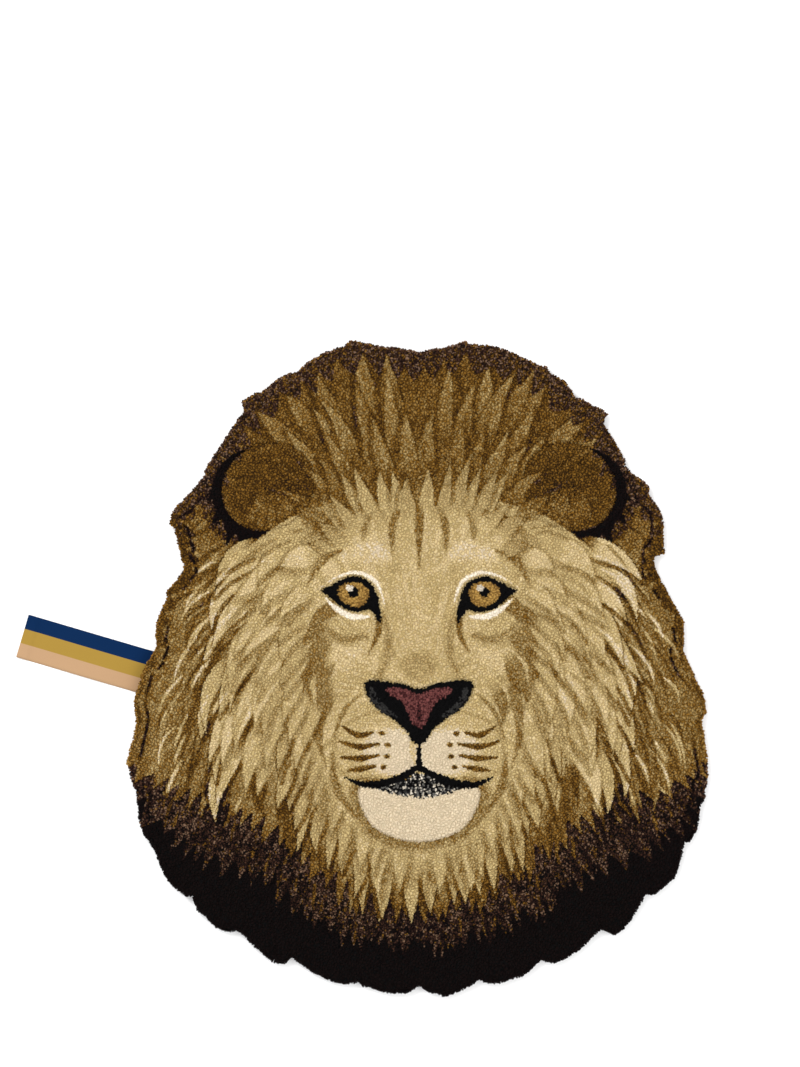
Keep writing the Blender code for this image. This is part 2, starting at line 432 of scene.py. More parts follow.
class Mane:
    """The mane between the face and the rug's rim."""

    def __init__(self, ring):
        self.face = polar(smooth_ring(whole(FACE)))
        self.rim = polar(ring)

    def reaches(self, turn):
        """The face's and the rim's distance from the hair's root."""
        face = np.interp(turn, *self.face, period=2 * math.pi)
        return face, np.interp(turn, *self.rim, period=2 * math.pi)

    def place(self, turn, share):
        """A point at a turn from the crown, a share of the way from the face to the rim."""
        face, rim = self.reaches(turn)
        reach = face + (rim - face) * share
        return HAIR_ROOT[0] + reach * math.sin(turn), HAIR_ROOT[1] + reach * math.cos(turn)

    def where(self, x, y):
        """Points' turns from the crown, shares of the way from the face to the rim, and that way's
        length."""
        turn = from_crown(x, y)
        face, rim = self.reaches(turn)
        reach = np.hypot(x - HAIR_ROOT[0], y - HAIR_ROOT[1])
        return turn, (reach - face) / (rim - face), rim - face

    def tone(self, turn, share):
        degrees = np.degrees(np.abs(turn))
        columns = np.array([np.interp(share, MANE_REACHES, tones) for tones in MANE_TONES.values()])
        turns = np.array(list(MANE_TONES))
        after = np.clip(np.searchsorted(turns, degrees), 1, len(turns) - 1)
        part = np.clip((degrees - turns[after - 1]) / (turns[after] - turns[after - 1]), 0, 1)
        ends = np.arange(len(turn))
        return columns[after - 1, ends] * (1 - part) + columns[after, ends] * part


def zigzag(turn, per_radian, seed):
    """Uneven pointed teeth from 0 to 1 along the turn."""
    steps = turn * per_radian + 1.6 * noise_along(turn * per_radian * 0.5 + 90, 4.5, seed)
    tooth = np.abs(2 * (steps - np.floor(steps)) - 1)
    return tooth ** 1.4 * (0.35 + 0.65 * noise_along(np.floor(steps + 0.5) + 90.0, 7.5, seed + 1))


def polar(ring):
    """A ring's turns from the crown, in order, and its reaches from the hair's root."""
    turn = from_crown(*ring.T)
    order = np.argsort(turn)
    return turn[order], np.hypot(*(ring - HAIR_ROOT).T)[order]


# Rows of flame-shaped locks: the turns of the first and last on each side, how many there are, where
# they start from the face (0) to the rim (1), their length and width, their brightness at the root
# and at the tip, how far they darken the hair beside them (1 is not at all) and their border.
FlameRow = namedtuple("FlameRow", "first last count start length width root tip beside soft")
OUTER_FLAMES = table_of(
    FlameRow,
    (2, 50, 7, 0.50, 0.084, 0.022, 0.38, 0.50, 0.80, 0.0022),
    (5, 50, 8, 0.28, 0.090, 0.021, 0.38, 0.51, 0.76, 0.0020),
    (62, 122, 16, 0.52, 0.070, 0.012, 0.44, 0.48, 0.82, 0.0020),
    (122, 179, 18, 0.52, 0.034, 0.010, 0.16, 0.17, 0.60, 0.0014),
    (106, 179, 26, 0.24, 0.042, 0.011, 0.42, 0.32, 0.80, 0.0013),
)
INNER_FLAMES = table_of(
    FlameRow,
    (1, 42, 7, 0.08, 0.076, 0.018, 0.40, 0.49, 0.80, 0.0022),
    (54, 124, 13, 0.34, 0.090, 0.022, 0.67, 0.70, 0.64, 0.0011),
    (50, 126, 11, 0.17, 0.088, 0.024, 0.69, 0.70, 0.84, 0.0030),
    (46, 130, 11, 0.02, 0.080, 0.022, 0.70, 0.70, 0.86, 0.0040),
    (122, 179, 13, 0.10, 0.052, 0.015, 0.65, 0.60, 0.66, 0.0011),
    (124, 178, 12, -0.04, 0.052, 0.015, 0.68, 0.65, 0.84, 0.0030),
)
FACE_FRINGE = table_of(
    FlameRow,
    (1, 44, 9, -0.12, 0.062, 0.017, 0.67, 0.54, 0.84, 0.0014),
    (56, 122, 9, -0.28, 0.056, 0.016, 0.50, 0.45, 1.00, 0.0014),
    (56, 128, 10, -0.08, 0.060, 0.018, 0.68, 0.67, 0.84, 0.0022),
)
FLAME_SHAPE = np.array((0.35, 0.85, 1.0, 0.86, 0.60, 0.31, 0.0))
DARKEST_SHADE = 0.26         # of the shade beside a lock, except where the hair is darker
EAR_TURN = 44                # degrees from the crown; the locks in front of the ears are short


def hair_path(mane, side, turn, share, length, rng):
    """The middle line of a lock, which leans down at the sides and bends as it grows."""
    x, y = mane.place(side * turn, share)
    lean = float(read(HAIR_LEANS, math.degrees(turn))) * (0.88 + 0.24 * rng.random())
    sway = 0.34 * (rng.random() - 0.5)
    bend = 0.34 * (rng.random() - 0.5)
    points = [(x, y)]
    for step in range(4):
        heading = turn + lean * (0.7 + 0.15 * step) + sway * math.cos(0.9 * step) + bend * (step - 1.5) / 2
        x += side * length / 4 * math.sin(heading)
        y += length / 4 * math.cos(heading)
        points.append((x, y))
    return points


def paint_flame(pile, side, path, width, row, lift):
    """One lock: it melts into its root, ends in a point and darkens the hair on its lower side."""
    ends, inside, along, left = pile.follow(path, width * FLAME_SHAPE)
    margin = 0.0022 + 0.8 * row.soft
    below = inside + margin * (1 - 0.6 * side * np.sign(left))
    below = ramp(0.5 + below / (0.0008 + row.soft)) * ramp(along / 0.5)
    plain = pile.tone[ends]
    darker = plain * (1 - (1 - row.beside) * below)
    pile.tone[ends] = np.where(plain > DARKEST_SHADE, np.maximum(darker, DARKEST_SHADE), darker)
    pile.cut[ends] = np.maximum(pile.cut[ends], 0.5 * below)
    body = ramp(0.5 + inside / row.soft) * ramp(along / 0.35)
    pile.tone[ends] += ((row.root + (row.tip - row.root) * along) * lift - pile.tone[ends]) * body
    pile.cut[ends] *= 1 - body


def paint_flame_rows(pile, mane, rows, seed):
    rng = np.random.default_rng(seed)
    for row in rows:
        for side in SIDES:
            for place in range(row.count, 0, -1):
                step = place - 0.5 + 0.6 * (rng.random() - 0.5)
                degrees = row.first + (row.last - row.first) * step / row.count
                start = row.start + 0.10 * (rng.random() - 0.5)
                beside_ear = math.exp(-((degrees - EAR_TURN) / 15) ** 2) * (row.start < 0.3)
                length = row.length * (0.8 + 0.4 * rng.random()) * (1 - 0.5 * beside_ear)
                width = row.width * (0.8 + 0.4 * rng.random())
                lift = 0.95 + 0.10 * rng.random()
                path = hair_path(mane, side, math.radians(degrees), start, length, rng)
                paint_flame(pile, side, path, width, row, lift)


# Single thin strands: how many on each side, from which turn to which, from where to where they
# start, their length and width, and how much lighter or darker they are than what they cross.
StrandRow = namedtuple("StrandRow", "count first last nearest farthest length width factor")
STRANDS = table_of(
    StrandRow,
    (30, 62, 122, 0.40, 0.80, 0.060, 0.0045, 1.14),
    (16, 62, 122, 0.50, 0.80, 0.060, 0.0045, 0.72),
    (16, 62, 178, 0.00, 0.30, 0.060, 0.0060, 0.88),
    (14, 62, 178, 0.00, 0.30, 0.050, 0.0055, 1.07),
    (16, 1, 60, 0.10, 0.75, 0.044, 0.0060, 0.84),
    (12, 1, 60, 0.20, 0.75, 0.036, 0.0050, 1.16),
    (22, 66, 128, 0.56, 0.80, 0.044, 0.0036, 1.60),
    (20, 124, 178, 0.42, 0.60, 0.026, 0.0036, 1.60),
)
LIGHTEST_HAIR = 0.75


def paint_strands(pile, mane):
    rng = np.random.default_rng(33)
    for row in STRANDS:
        for side in SIDES:
            for place in range(row.count):
                degrees = row.first + (row.last - row.first) * (place + rng.random()) / row.count
                share = row.nearest + (row.farthest - row.nearest) * rng.random()
                length = row.length * (0.6 + 0.8 * rng.random())
                path = hair_path(mane, side, math.radians(degrees), share, length, rng)
                shape = pile.line(path, [row.width * 0.4, row.width, row.width * 0.8, 0.0])
                pile.scale(shape, row.factor, 0.0014, 0.9)
    pile.tone = np.minimum(pile.tone, LIGHTEST_HAIR)


def paint_mane_ground(pile, mane):
    turn, share, length = mane.where(pile.x, pile.y)
    pile.tone = mane.tone(turn, share)
    fine = noise(turn * 60 + 400, share * 5 + 9, 4) - 0.5
    pile.tone *= 1 + 0.08 * fine
    degrees = np.degrees(np.abs(turn))
    for number, band in enumerate(BEARD_BANDS):
        teeth = zigzag(turn - 0.45 * np.sin(turn) * share, 14, 40 + number)
        border = read(band.borders, degrees) + 0.17 * teeth - 0.05
        pile.shade((share - border) * length, band.tone, 0.0016)
    strands = noise(turn * BEARD_STRANDS + 900, share * 7 + 3, 46) - 0.5
    in_band = ramp(0.5 + (0.045 - np.abs(pile.tone - BEARD_BANDS[0].tone)) / 0.02)
    pile.tone *= 1 + STRAND_CONTRAST * strands * in_band


# The darker yarn round the crown's rim, by the turn from the crown in degrees.
RIM_SHADE_WIDTHS = {0: 0.027, 50: 0.024, 75: 0.012, 100: 0.005}
RIM_SHADE_TONES = {0: 0.205, 60: 0.20, 85: 0.255, 105: 0.30}
RIM_SHADE_STRENGTHS = {0: 0.96, 80: 0.85, 105: 0.6, 125: 0.0}


def paint_rim_shade(pile):
    """The darker yarn round the crown's rim, with a ragged border."""
    turn = from_crown(pile.x, pile.y)
    degrees = np.degrees(np.abs(turn))
    band = read(RIM_SHADE_WIDTHS, degrees) * (1.25 - 1.1 * zigzag(turn, 13, 50)) - pile.edge
    weight = ramp(0.5 + band / 0.0014) * read(RIM_SHADE_STRENGTHS, degrees)
    pile.tone += (np.minimum(read(RIM_SHADE_TONES, degrees), pile.tone) - pile.tone) * weight


GROOVE_STRENGTHS = {50: 0, 62: 1, 118: 1, 130: 0}    # by the turn from the crown in degrees
GROOVE_INSET = 0.013
GROOVE_WANDER = 0.009
GROOVE_HALF_WIDTH = 0.0016
GROOVE_SHADE = 0.72


def paint_rim_groove(pile):
    """The broken dark groove that is carved a finger's breadth inside the rim at the sides."""
    turn = from_crown(pile.x, pile.y)
    wander = noise_along(turn * 23 + 80, 5.5, 24) - 0.5
    inside = GROOVE_HALF_WIDTH - np.abs(pile.edge - GROOVE_INSET - GROOVE_WANDER * wander)
    broken = np.clip(4 * (noise_along(turn * 9 + 80, 2.5, 25) - 0.24), 0, 1)
    broken = broken * np.clip(5 * (noise_along(turn * 50 + 300, 8.5, 27) - 0.26), 0, 1)
    amount = broken * read(GROOVE_STRENGTHS, np.degrees(np.abs(turn)))
    groove = ramp(0.5 + inside / 0.0015)
    pile.tone *= 1 - GROOVE_SHADE * amount * groove
    pile.cut = np.maximum(pile.cut, amount * groove)


# ---------------------------------------------------------------- ears and face
EAR = (0.170, 0.206)
EAR_TILT = -34
EAR_RUFF = ((0.092, 0.184), (0.138, 0.160), (0.178, 0.130), (0.208, 0.094), (0.228, 0.050))
EAR_RUFF_WIDTHS = (0.010, 0.026, 0.030, 0.022, 0.004)
# The ear's ellipses: how far out and up from its middle they lie, radii, brightness, border and strength.
EarPart = namedtuple("EarPart", "out up radii tone soft amount")
EAR_SHADE = EarPart(0.020, -0.012, (0.058, 0.056), 0.15, 0.010, 0.7)
EAR_BACK = EarPart(0.014, -0.006, (0.050, 0.050), 0.035, 0.003, 1.0)
EAR_FRONT = EarPart(0.0, 0.0, (0.054, 0.048), 0.30, 0.0016, 1.0)
EAR_HOLLOWS = table_of(
    EarPart,
    (-0.003, -0.003, (0.047, 0.041), 0.27, 0.008, 1.0),
    (-0.010, -0.012, (0.030, 0.024), 0.245, 0.014, 1.0),
)
EAR_SPIKES = 9               # dark spikes of hair behind each ear
EAR_TUFTS = 7                # light tufts inside it


def shade_ear_part(pile, side, part):
    shape = pile.ellipse(((EAR[0] + part.out) * side, EAR[1] + part.up), part.radii, EAR_TILT * side)
    pile.shade(shape, part.tone, part.soft, part.amount)
    return shape


def ear_point(side, out, up, radii, turn):
    """A point on an upright ellipse, whose middle lies out and up from the ear's."""
    return side * (EAR[0] + out + radii[0] * math.cos(turn)), EAR[1] + up + radii[1] * math.sin(turn)


def paint_ear_spikes(pile, side):
    for spike in range(EAR_SPIKES):
        turn = math.radians(18 - 11 * spike)
        reach = 0.060 + 0.010 * (spike % 2) + 0.0012 * spike
        start = ear_point(side, 0, -0.002, (0.042, 0.042), turn)
        end = ear_point(side, 0, -0.008, (reach, reach), turn - 0.25)
        pile.shade(pile.line([start, end], [0.022, 0.014, 0.0]), EAR_BACK.tone, 0.0014)


def paint_ear_tufts(pile, side):
    for tuft in range(EAR_TUFTS):
        turn = math.radians(205 + 17 * tuft)
        start = ear_point(side, -0.006, -0.004, (0.042, 0.038), turn)
        end = ear_point(side, -0.002, 0.004, (0.014, 0.012), turn + 0.3)
        middle = ((start[0] + end[0]) / 2 + 0.003, (start[1] + end[1]) / 2)
        pile.shade(pile.line([start, middle, end], [0.010, 0.008, 0.0]), 0.40, 0.002, 0.85)


def paint_ears(pile):
    for side in SIDES:
        shade_ear_part(pile, side, EAR_SHADE)
        paint_ear_spikes(pile, side)
        shade_ear_part(pile, side, EAR_BACK)
        pile.carve(shade_ear_part(pile, side, EAR_FRONT))
        for part in EAR_HOLLOWS:
            shade_ear_part(pile, side, part)
        paint_ear_tufts(pile, side)
        pile.shade(pile.line(mirrored(EAR_RUFF, side), EAR_RUFF_WIDTHS), 0.655, 0.0022)


# Soft strokes on each half of the face: the brightness, the line, its widths, border and strength.
Stroke = namedtuple("Stroke", "tone line widths soft amount")
FACE_STROKES = table_of(
    Stroke,
    (0.46, ((0.018, 0.196), (0.030, 0.160), (0.030, 0.122)), (0.007, 0.009, 0.001), 0.003, 0.9),
    (0.50, ((0.052, 0.184), (0.062, 0.156), (0.060, 0.130)), (0.006, 0.008, 0.001), 0.003, 0.8),
    (0.76, ((0.036, 0.128), (0.058, 0.134), (0.084, 0.128)), (0.014, 0.028, 0.010), 0.014, 0.80),
    (0.46, ((0.088, 0.134), (0.110, 0.122), (0.126, 0.094)), (0.003, 0.011, 0.002), 0.004, 0.9),
    (0.52, ((0.040, 0.066), (0.034, 0.026), (0.046, -0.012)), (0.003, 0.008, 0.006), 0.010, 0.85),
    (0.40, ((0.045, 0.056), (0.047, 0.038), (0.058, 0.016)), (0.008, 0.007, 0.0), 0.003, 0.9),
    (0.50, ((0.060, 0.038), (0.086, 0.034), (0.112, 0.052)), (0.005, 0.010, 0.002), 0.007, 0.8),
    (0.74, ((0.066, 0.022), (0.088, 0.010), (0.104, 0.014)), (0.012, 0.026, 0.010), 0.020, 0.6),
    (0.48, ((0.066, -0.028), (0.084, -0.046), (0.096, -0.076)), (0.002, 0.006, 0.003), 0.003, 0.85),
    (0.46, ((0.116, 0.040), (0.128, -0.004), (0.118, -0.046)), (0.001, 0.010, 0.001), 0.004, 0.85),
    (0.47, ((0.104, -0.040), (0.114, -0.072), (0.104, -0.112)), (0.001, 0.010, 0.001), 0.004, 0.85),
    (0.50, ((0.096, 0.006), (0.106, -0.022), (0.100, -0.050)), (0.001, 0.007, 0.001), 0.004, 0.75),
    (0.44, ((0.098, -0.094), (0.094, -0.130), (0.074, -0.164)), (0.002, 0.011, 0.004), 0.005, 0.85),
)


MIDDLE_STROKES = table_of(
    Stroke,
    (0.695, ((0, 0.120), (0, 0.060), (0, -0.006)), (0.010, 0.026, 0.040), 0.018, 0.7),
    (0.42, ((0, 0.200), (0, 0.160), (0, 0.112)), (0.012, 0.010, 0.001), 0.003, 0.9),
)
FUR_ROOT_Y = -0.03           # the short fur of the face grows away from here


def paint_stroke(pile, stroke, side=1):
    shape = pile.line(mirrored(stroke.line, side), stroke.widths)
    pile.shade(shape, stroke.tone, stroke.soft, stroke.amount)


def paint_face(pile):
    face = pile.patch(whole(FACE))
    pile.shade(face - 0.004, 0.680, 0.012)
    turn = np.arctan2(pile.x, pile.y - FUR_ROOT_Y)
    reach = np.hypot(pile.x, pile.y - FUR_ROOT_Y)
    fur = noise(turn * 26 + 70, reach * 34, 17) - 0.5
    pile.tone *= 1 + 0.13 * fur * ramp(0.5 + face / 0.02)
    for stroke in MIDDLE_STROKES:
        paint_stroke(pile, stroke)
    pile.shade(pile.ellipse((0, 0.004), (0.020, 0.017)), 0.57, 0.012, 0.7)
    for side in SIDES:
        for stroke in FACE_STROKES:
            paint_stroke(pile, stroke, side)


EYE = (0.073, 0.086)
EYE_SIZE = 0.97
# Round the middle of the right eye: the dark rim with its tear corner, the opening, and the lids.
EYE_RIM = (
    (-0.030, -0.034), (-0.029, -0.012), (-0.021, 0.009), (-0.005, 0.019), (0.012, 0.017), (0.026, 0.009),
    (0.038, 0.003), (0.026, -0.007), (0.012, -0.018), (-0.005, -0.022), (-0.019, -0.020),
)
EYE_OPENING = (
    (-0.021, -0.009), (-0.014, 0.007), (-0.002, 0.0125), (0.012, 0.010), (0.022, 0.002), (0.012, -0.011),
    (-0.004, -0.016),
)
UPPER_LID = ((-0.035, -0.012), (-0.026, 0.012), (-0.006, 0.0235), (0.016, 0.0205), (0.040, 0.0065))
LOWER_LID = ((-0.016, -0.0275), (0.004, -0.027), (0.020, -0.0185), (0.034, -0.0055))


# The iris, from the middle of the right eye, its paler core, the pupil, and the glint, from the iris.
IRIS_MIDDLE = (0.0005, 0.0010)
IRIS_RADIUS = 0.0175
CORE_RADIUS = 0.0135
PUPIL_RADIUS = 0.0058
GLINT_SHIFT = (-0.0050, 0.0048)
GLINT_RADII = (0.0042, 0.0036)
LID_TONE = 0.86


def paint_eyes(pile):
    for side in SIDES:
        def at_eye(points):
            return [(side * (EYE[0] + x * EYE_SIZE), EYE[1] + y * EYE_SIZE) for x, y in points]

        pile.shade(pile.line(at_eye(UPPER_LID), [0.001, 0.004, 0.004, 0.002, 0.0]), LID_TONE, 0.002)
        pile.shade(pile.line(at_eye(LOWER_LID), [0.003, 0.0075, 0.006, 0.001]), LID_TONE, 0.002)
        rim = pile.patch(at_eye(EYE_RIM))
        pile.dye({"black": 1}, rim)
        opening = pile.patch(at_eye(EYE_OPENING))
        middle = at_eye([IRIS_MIDDLE])[0]
        ball = np.minimum(pile.ellipse(middle, (IRIS_RADIUS, IRIS_RADIUS)), opening)
        pile.dye({"honey": 0.75, "amber": 0.25}, ball)
        core = np.minimum(pile.ellipse(middle, (CORE_RADIUS, CORE_RADIUS)), opening)
        pile.dye({"amber": 0.72, "honey": 0.28}, core, 0.003)
        pile.dye({"black": 1}, pile.ellipse(middle, (PUPIL_RADIUS, PUPIL_RADIUS)))
        glint = (middle[0] + GLINT_SHIFT[0], middle[1] + GLINT_SHIFT[1])
        pile.dye({"chalk": 1}, pile.ellipse(glint, GLINT_RADII), 0.001)
        pile.carve(rim)


NOSE = (
    (0.0, -0.022), (0.016, -0.017), (0.034, -0.014), (0.050, -0.012), (0.061, -0.016), (0.058, -0.030),
    (0.046, -0.045), (0.030, -0.056), (0.015, -0.069), (0.007, -0.081), (0.0, -0.084),
)
NOSE_PAD = (
    (0.0, -0.028), (0.014, -0.023), (0.030, -0.020), (0.038, -0.023), (0.030, -0.031), (0.020, -0.036),
    (0.013, -0.048), (0.007, -0.062), (0.0, -0.066),
)
NOSE_WING = ((0.053, -0.021), (0.050, -0.034), (0.038, -0.046), (0.026, -0.053))


def paint_nose(pile):
    nose = pile.patch(whole(NOSE))
    pile.dye({"black": 1}, nose)
    pile.dye({"rose": 0.62, "wine": 0.38}, pile.patch(whole(NOSE_PAD)))
    pile.dye({"wine": 0.7, "black": 0.3}, pile.line([(0, -0.036), (0, -0.056)], [0.002, 0.006]))
    for side in SIDES:
        wing = pile.line(mirrored(NOSE_WING, side), [0.004, 0.009, 0.008, 0.002])
        pile.dye({"slate": 0.75, "black": 0.25}, wing, 0.002)
    pile.carve(nose)


# Whiskers on each side of the muzzle: height, the two ends, and how far the outer end lifts.
Whisker = namedtuple("Whisker", "y start end rise")
WHISKERS = table_of(
    Whisker,
    (-0.071, 0.052, 0.086, 0.007),
    (-0.084, 0.045, 0.090, 0.003),
    (-0.097, 0.046, 0.088, -0.002),
    (-0.109, 0.050, 0.080, -0.005),
)
LOWER_LIP = ((0.0, -0.116), (0.022, -0.125), (0.046, -0.133), (0.030, -0.140), (0.0, -0.144))
CHIN = ((0.0, -0.128), (0.036, -0.132), (0.066, -0.132), (0.066, -0.154), (0.046, -0.182), (0.0, -0.195))
MOUTH_LINE = ((0.0, -0.109), (0.020, -0.121), (0.044, -0.129), (0.066, -0.129), (0.084, -0.121))


def paint_muzzle(pile):
    for side in SIDES:
        pad = pile.ellipse((0.044 * side, -0.089), (0.051, 0.040), -8 * side)
        pile.shade(pad + 0.002, 0.50, 0.006, 0.6)
        pile.shade(pad, 0.68, 0.006)
        pile.shade(pile.ellipse((0.030 * side, -0.094), (0.036, 0.028), 12 * side), 0.78, 0.016)
    for side in SIDES:
        for row in WHISKERS:
            middle = ((row.start + row.end) / 2, row.y - 0.003)
            path = mirrored([(row.start, row.y), middle, (row.end, row.y + row.rise)], side)
            pile.shade(pile.line(path, [0.003, 0.0072, 0.0025]), 0.31, 0.0014)
            dot = pile.ellipse(((row.start - 0.010) * side, row.y - 0.001), (0.0034, 0.0026))
            pile.shade(dot, 0.29, 0.0016)


def paint_mouth(pile):
    chin = pile.patch(whole(CHIN))
    pile.shade(chin + 0.010, 0.44, 0.010, 0.75)
    pile.shade(chin, 0.81, 0.0016)
    lip = pile.patch(whole(LOWER_LIP))
    pile.dye({"black": 0.44, "slate": 0.16, "ash": 0.24, "chalk": 0.16}, lip, 0.004)
    pile.dye({"black": 1}, pile.line([(0, -0.076), (0, -0.094), (0, -0.112)], [0.005, 0.0045, 0.007]))
    for side in SIDES:
        pile.dye({"black": 1}, pile.line(mirrored(MOUTH_LINE, side), [0.006, 0.008, 0.0095, 0.007, 0.001]))
    pile.carve(chin)


def draw_lion(pile, ring):
    mane = Mane(ring)
    paint_mane_ground(pile, mane)
    paint_flame_rows(pile, mane, OUTER_FLAMES, 21)
    paint_ears(pile)
    paint_flame_rows(pile, mane, INNER_FLAMES, 22)
    paint_strands(pile, mane)
    paint_rim_shade(pile)
    paint_rim_groove(pile)
    paint_face(pile)
    paint_flame_rows(pile, mane, FACE_FRINGE, 23)
    paint_eyes(pile)
    paint_muzzle(pile)
    paint_nose(pile)
    paint_mouth(pile)


# ---------------------------------------------------------------- meshes
def new_object(name, data):
    made = bpy.data.objects.new(name, data)
    bpy.context.scene.collection.objects.link(made)
    return made


def new_mesh(name, places, faces):
    """A smooth triangle mesh object from arrays."""
    mesh = bpy.data.meshes.new(name)
    mesh.vertices.add(len(places))
    mesh.vertices.foreach_set("co", places.astype(np.float32).ravel())
    mesh.loops.add(faces.size)
    mesh.loops.foreach_set("vertex_index", faces.astype(np.int32).ravel())
    mesh.polygons.add(len(faces))
    mesh.polygons.foreach_set("loop_start", np.arange(0, faces.size, 3, dtype=np.int32))
    mesh.update(calc_edges=True)
    mesh.shade_smooth()
    return new_object(name, mesh)


def set_yarn_colours(mesh, colours):
    """One linear colour for each corner of each face."""
    layer = mesh.color_attributes.new("yarn", "FLOAT_COLOR", "CORNER")
    rgba = np.ones((len(colours), 4), np.float32)
    rgba[:, :3] = colours
    layer.data.foreach_set("color", rgba.ravel())


def plane_turn(angle):
    """The matrix that turns points of the plane."""
    return np.array([[math.cos(angle), math.sin(angle)], [-math.sin(angle), math.cos(angle)]])


def honeycomb(ring):
    """Cells over the rug, one for each yarn end: all the corners' places, each cell's six corners in
    turn, its middle and its edge distance. A cell owns its top and bottom corner and shares the rest."""
    rng = np.random.default_rng(3)
    row_step = PITCH * math.sqrt(3) / 2
    turn = plane_turn(ROWS_TURN)
    turned = ring @ turn.T
    low = turned.min(0) - 3 * PITCH
    high = turned.max(0) + 3 * PITCH
    rows = np.arange(math.floor(low[1] / row_step), math.ceil(high[1] / row_step) + 1)
    columns = np.arange(math.floor(low[0] / PITCH), math.ceil(high[0] / PITCH) + 1)
    x = (columns[None, :] + 0.5 * (rows % 2)[:, None]) * PITCH
    y = np.broadcast_to((rows * row_step)[:, None], x.shape)
    radius = PITCH / math.sqrt(3)
    corners = np.stack([np.stack([x, y + radius], -1), np.stack([x, y - radius], -1)], 2).reshape(-1, 2)
    corners += (rng.random(corners.shape) - 0.5) * 2 * CORNER_JITTER * PITCH
    corners = corners @ turn
    number = np.arange(x.size).reshape(x.shape)
    row, column = np.meshgrid(np.arange(1, len(rows) - 1), np.arange(1, len(columns) - 1), indexing="ij")
    right = column + (rows[row] % 2).astype(int)
    left = right - 1
    top, bottom = 0, 1
    cells = np.stack([
        2 * number[row + 1, right] + bottom,
        2 * number[row, column] + top,
        2 * number[row + 1, left] + bottom,
        2 * number[row - 1, left] + top,
        2 * number[row, column] + bottom,
        2 * number[row - 1, right] + top,
    ], -1).reshape(-1, 6)
    middles = corners[cells].mean(1)
    middles += (rng.random(middles.shape) - 0.5) * 2 * END_JITTER * PITCH
    edge = edge_distance(middles[:, 0], middles[:, 1], ring)
    kept = edge > EDGE_MARGIN * PITCH
    return corners, cells[kept], middles[kept], edge[kept]


def bundle_ends(middles):
    """The number of the bundle that each yarn end belongs to: the nearest of a jittered grid of
    bundles, each a little longer one way than the other."""
    rng = np.random.default_rng(4)
    middles = middles @ plane_turn(BUNDLES_TURN).T
    square = np.floor(middles / BUNDLE_PITCH).astype(int)
    first = square.min(0) - 1
    square -= first
    shape = tuple(square.max(0) + 2)
    seeds = 0.5 + BUNDLE_JITTER * (rng.random((*shape, 2)) - 0.5)
    turns = math.pi * rng.random(shape)
    best = np.full(len(middles), FAR)
    owner = np.zeros(len(middles), int)
    for step in np.ndindex(3, 3):
        column, row = (square + np.array(step) - 1).T
        way = middles - (np.c_[column, row] + first + seeds[column, row]) * BUNDLE_PITCH
        turn = turns[column, row]
        along = way[:, 0] * np.cos(turn) + way[:, 1] * np.sin(turn)
        across = way[:, 1] * np.cos(turn) - way[:, 0] * np.sin(turn)
        gap = (along / BUNDLE_RADII[0]) ** 2 + (across / BUNDLE_RADII[1]) ** 2
        closer = gap < best
        best[closer] = gap[closer]
        owner[closer] = (column * shape[1] + row)[closer]
    return np.unique(owner, return_inverse=True)[1]


def end_faces(cells, bundle):
    """Triangles from each yarn end to its cell's corners. Where two ends of a bundle meet, the
    triangles join their tops instead of dipping to the cells' shared side. Tops are numbered after
    the corners. Returns the triangles and the end that owns each."""
    count = len(cells)
    first_top = cells.max() + 1
    end = np.repeat(np.arange(count), 6)
    start = cells.ravel()
    stop = np.roll(cells, -1, axis=1).ravel()
    side = np.minimum(start, stop) * first_top + np.maximum(start, stop)
    order = np.argsort(side, kind="stable")
    twins = np.flatnonzero(side[order][1:] == side[order][:-1])
    one = order[twins]
    other = order[twins + 1]
    joined = bundle[end[one]] == bundle[end[other]]
    one = one[joined]
    other = other[joined]
    faces = np.c_[end + first_top, start, stop]
    faces[one] = np.c_[end[one] + first_top, start[one], end[other] + first_top]
    faces[other] = np.c_[end[other] + first_top, start[other], end[one] + first_top]
    return faces, end, first_top


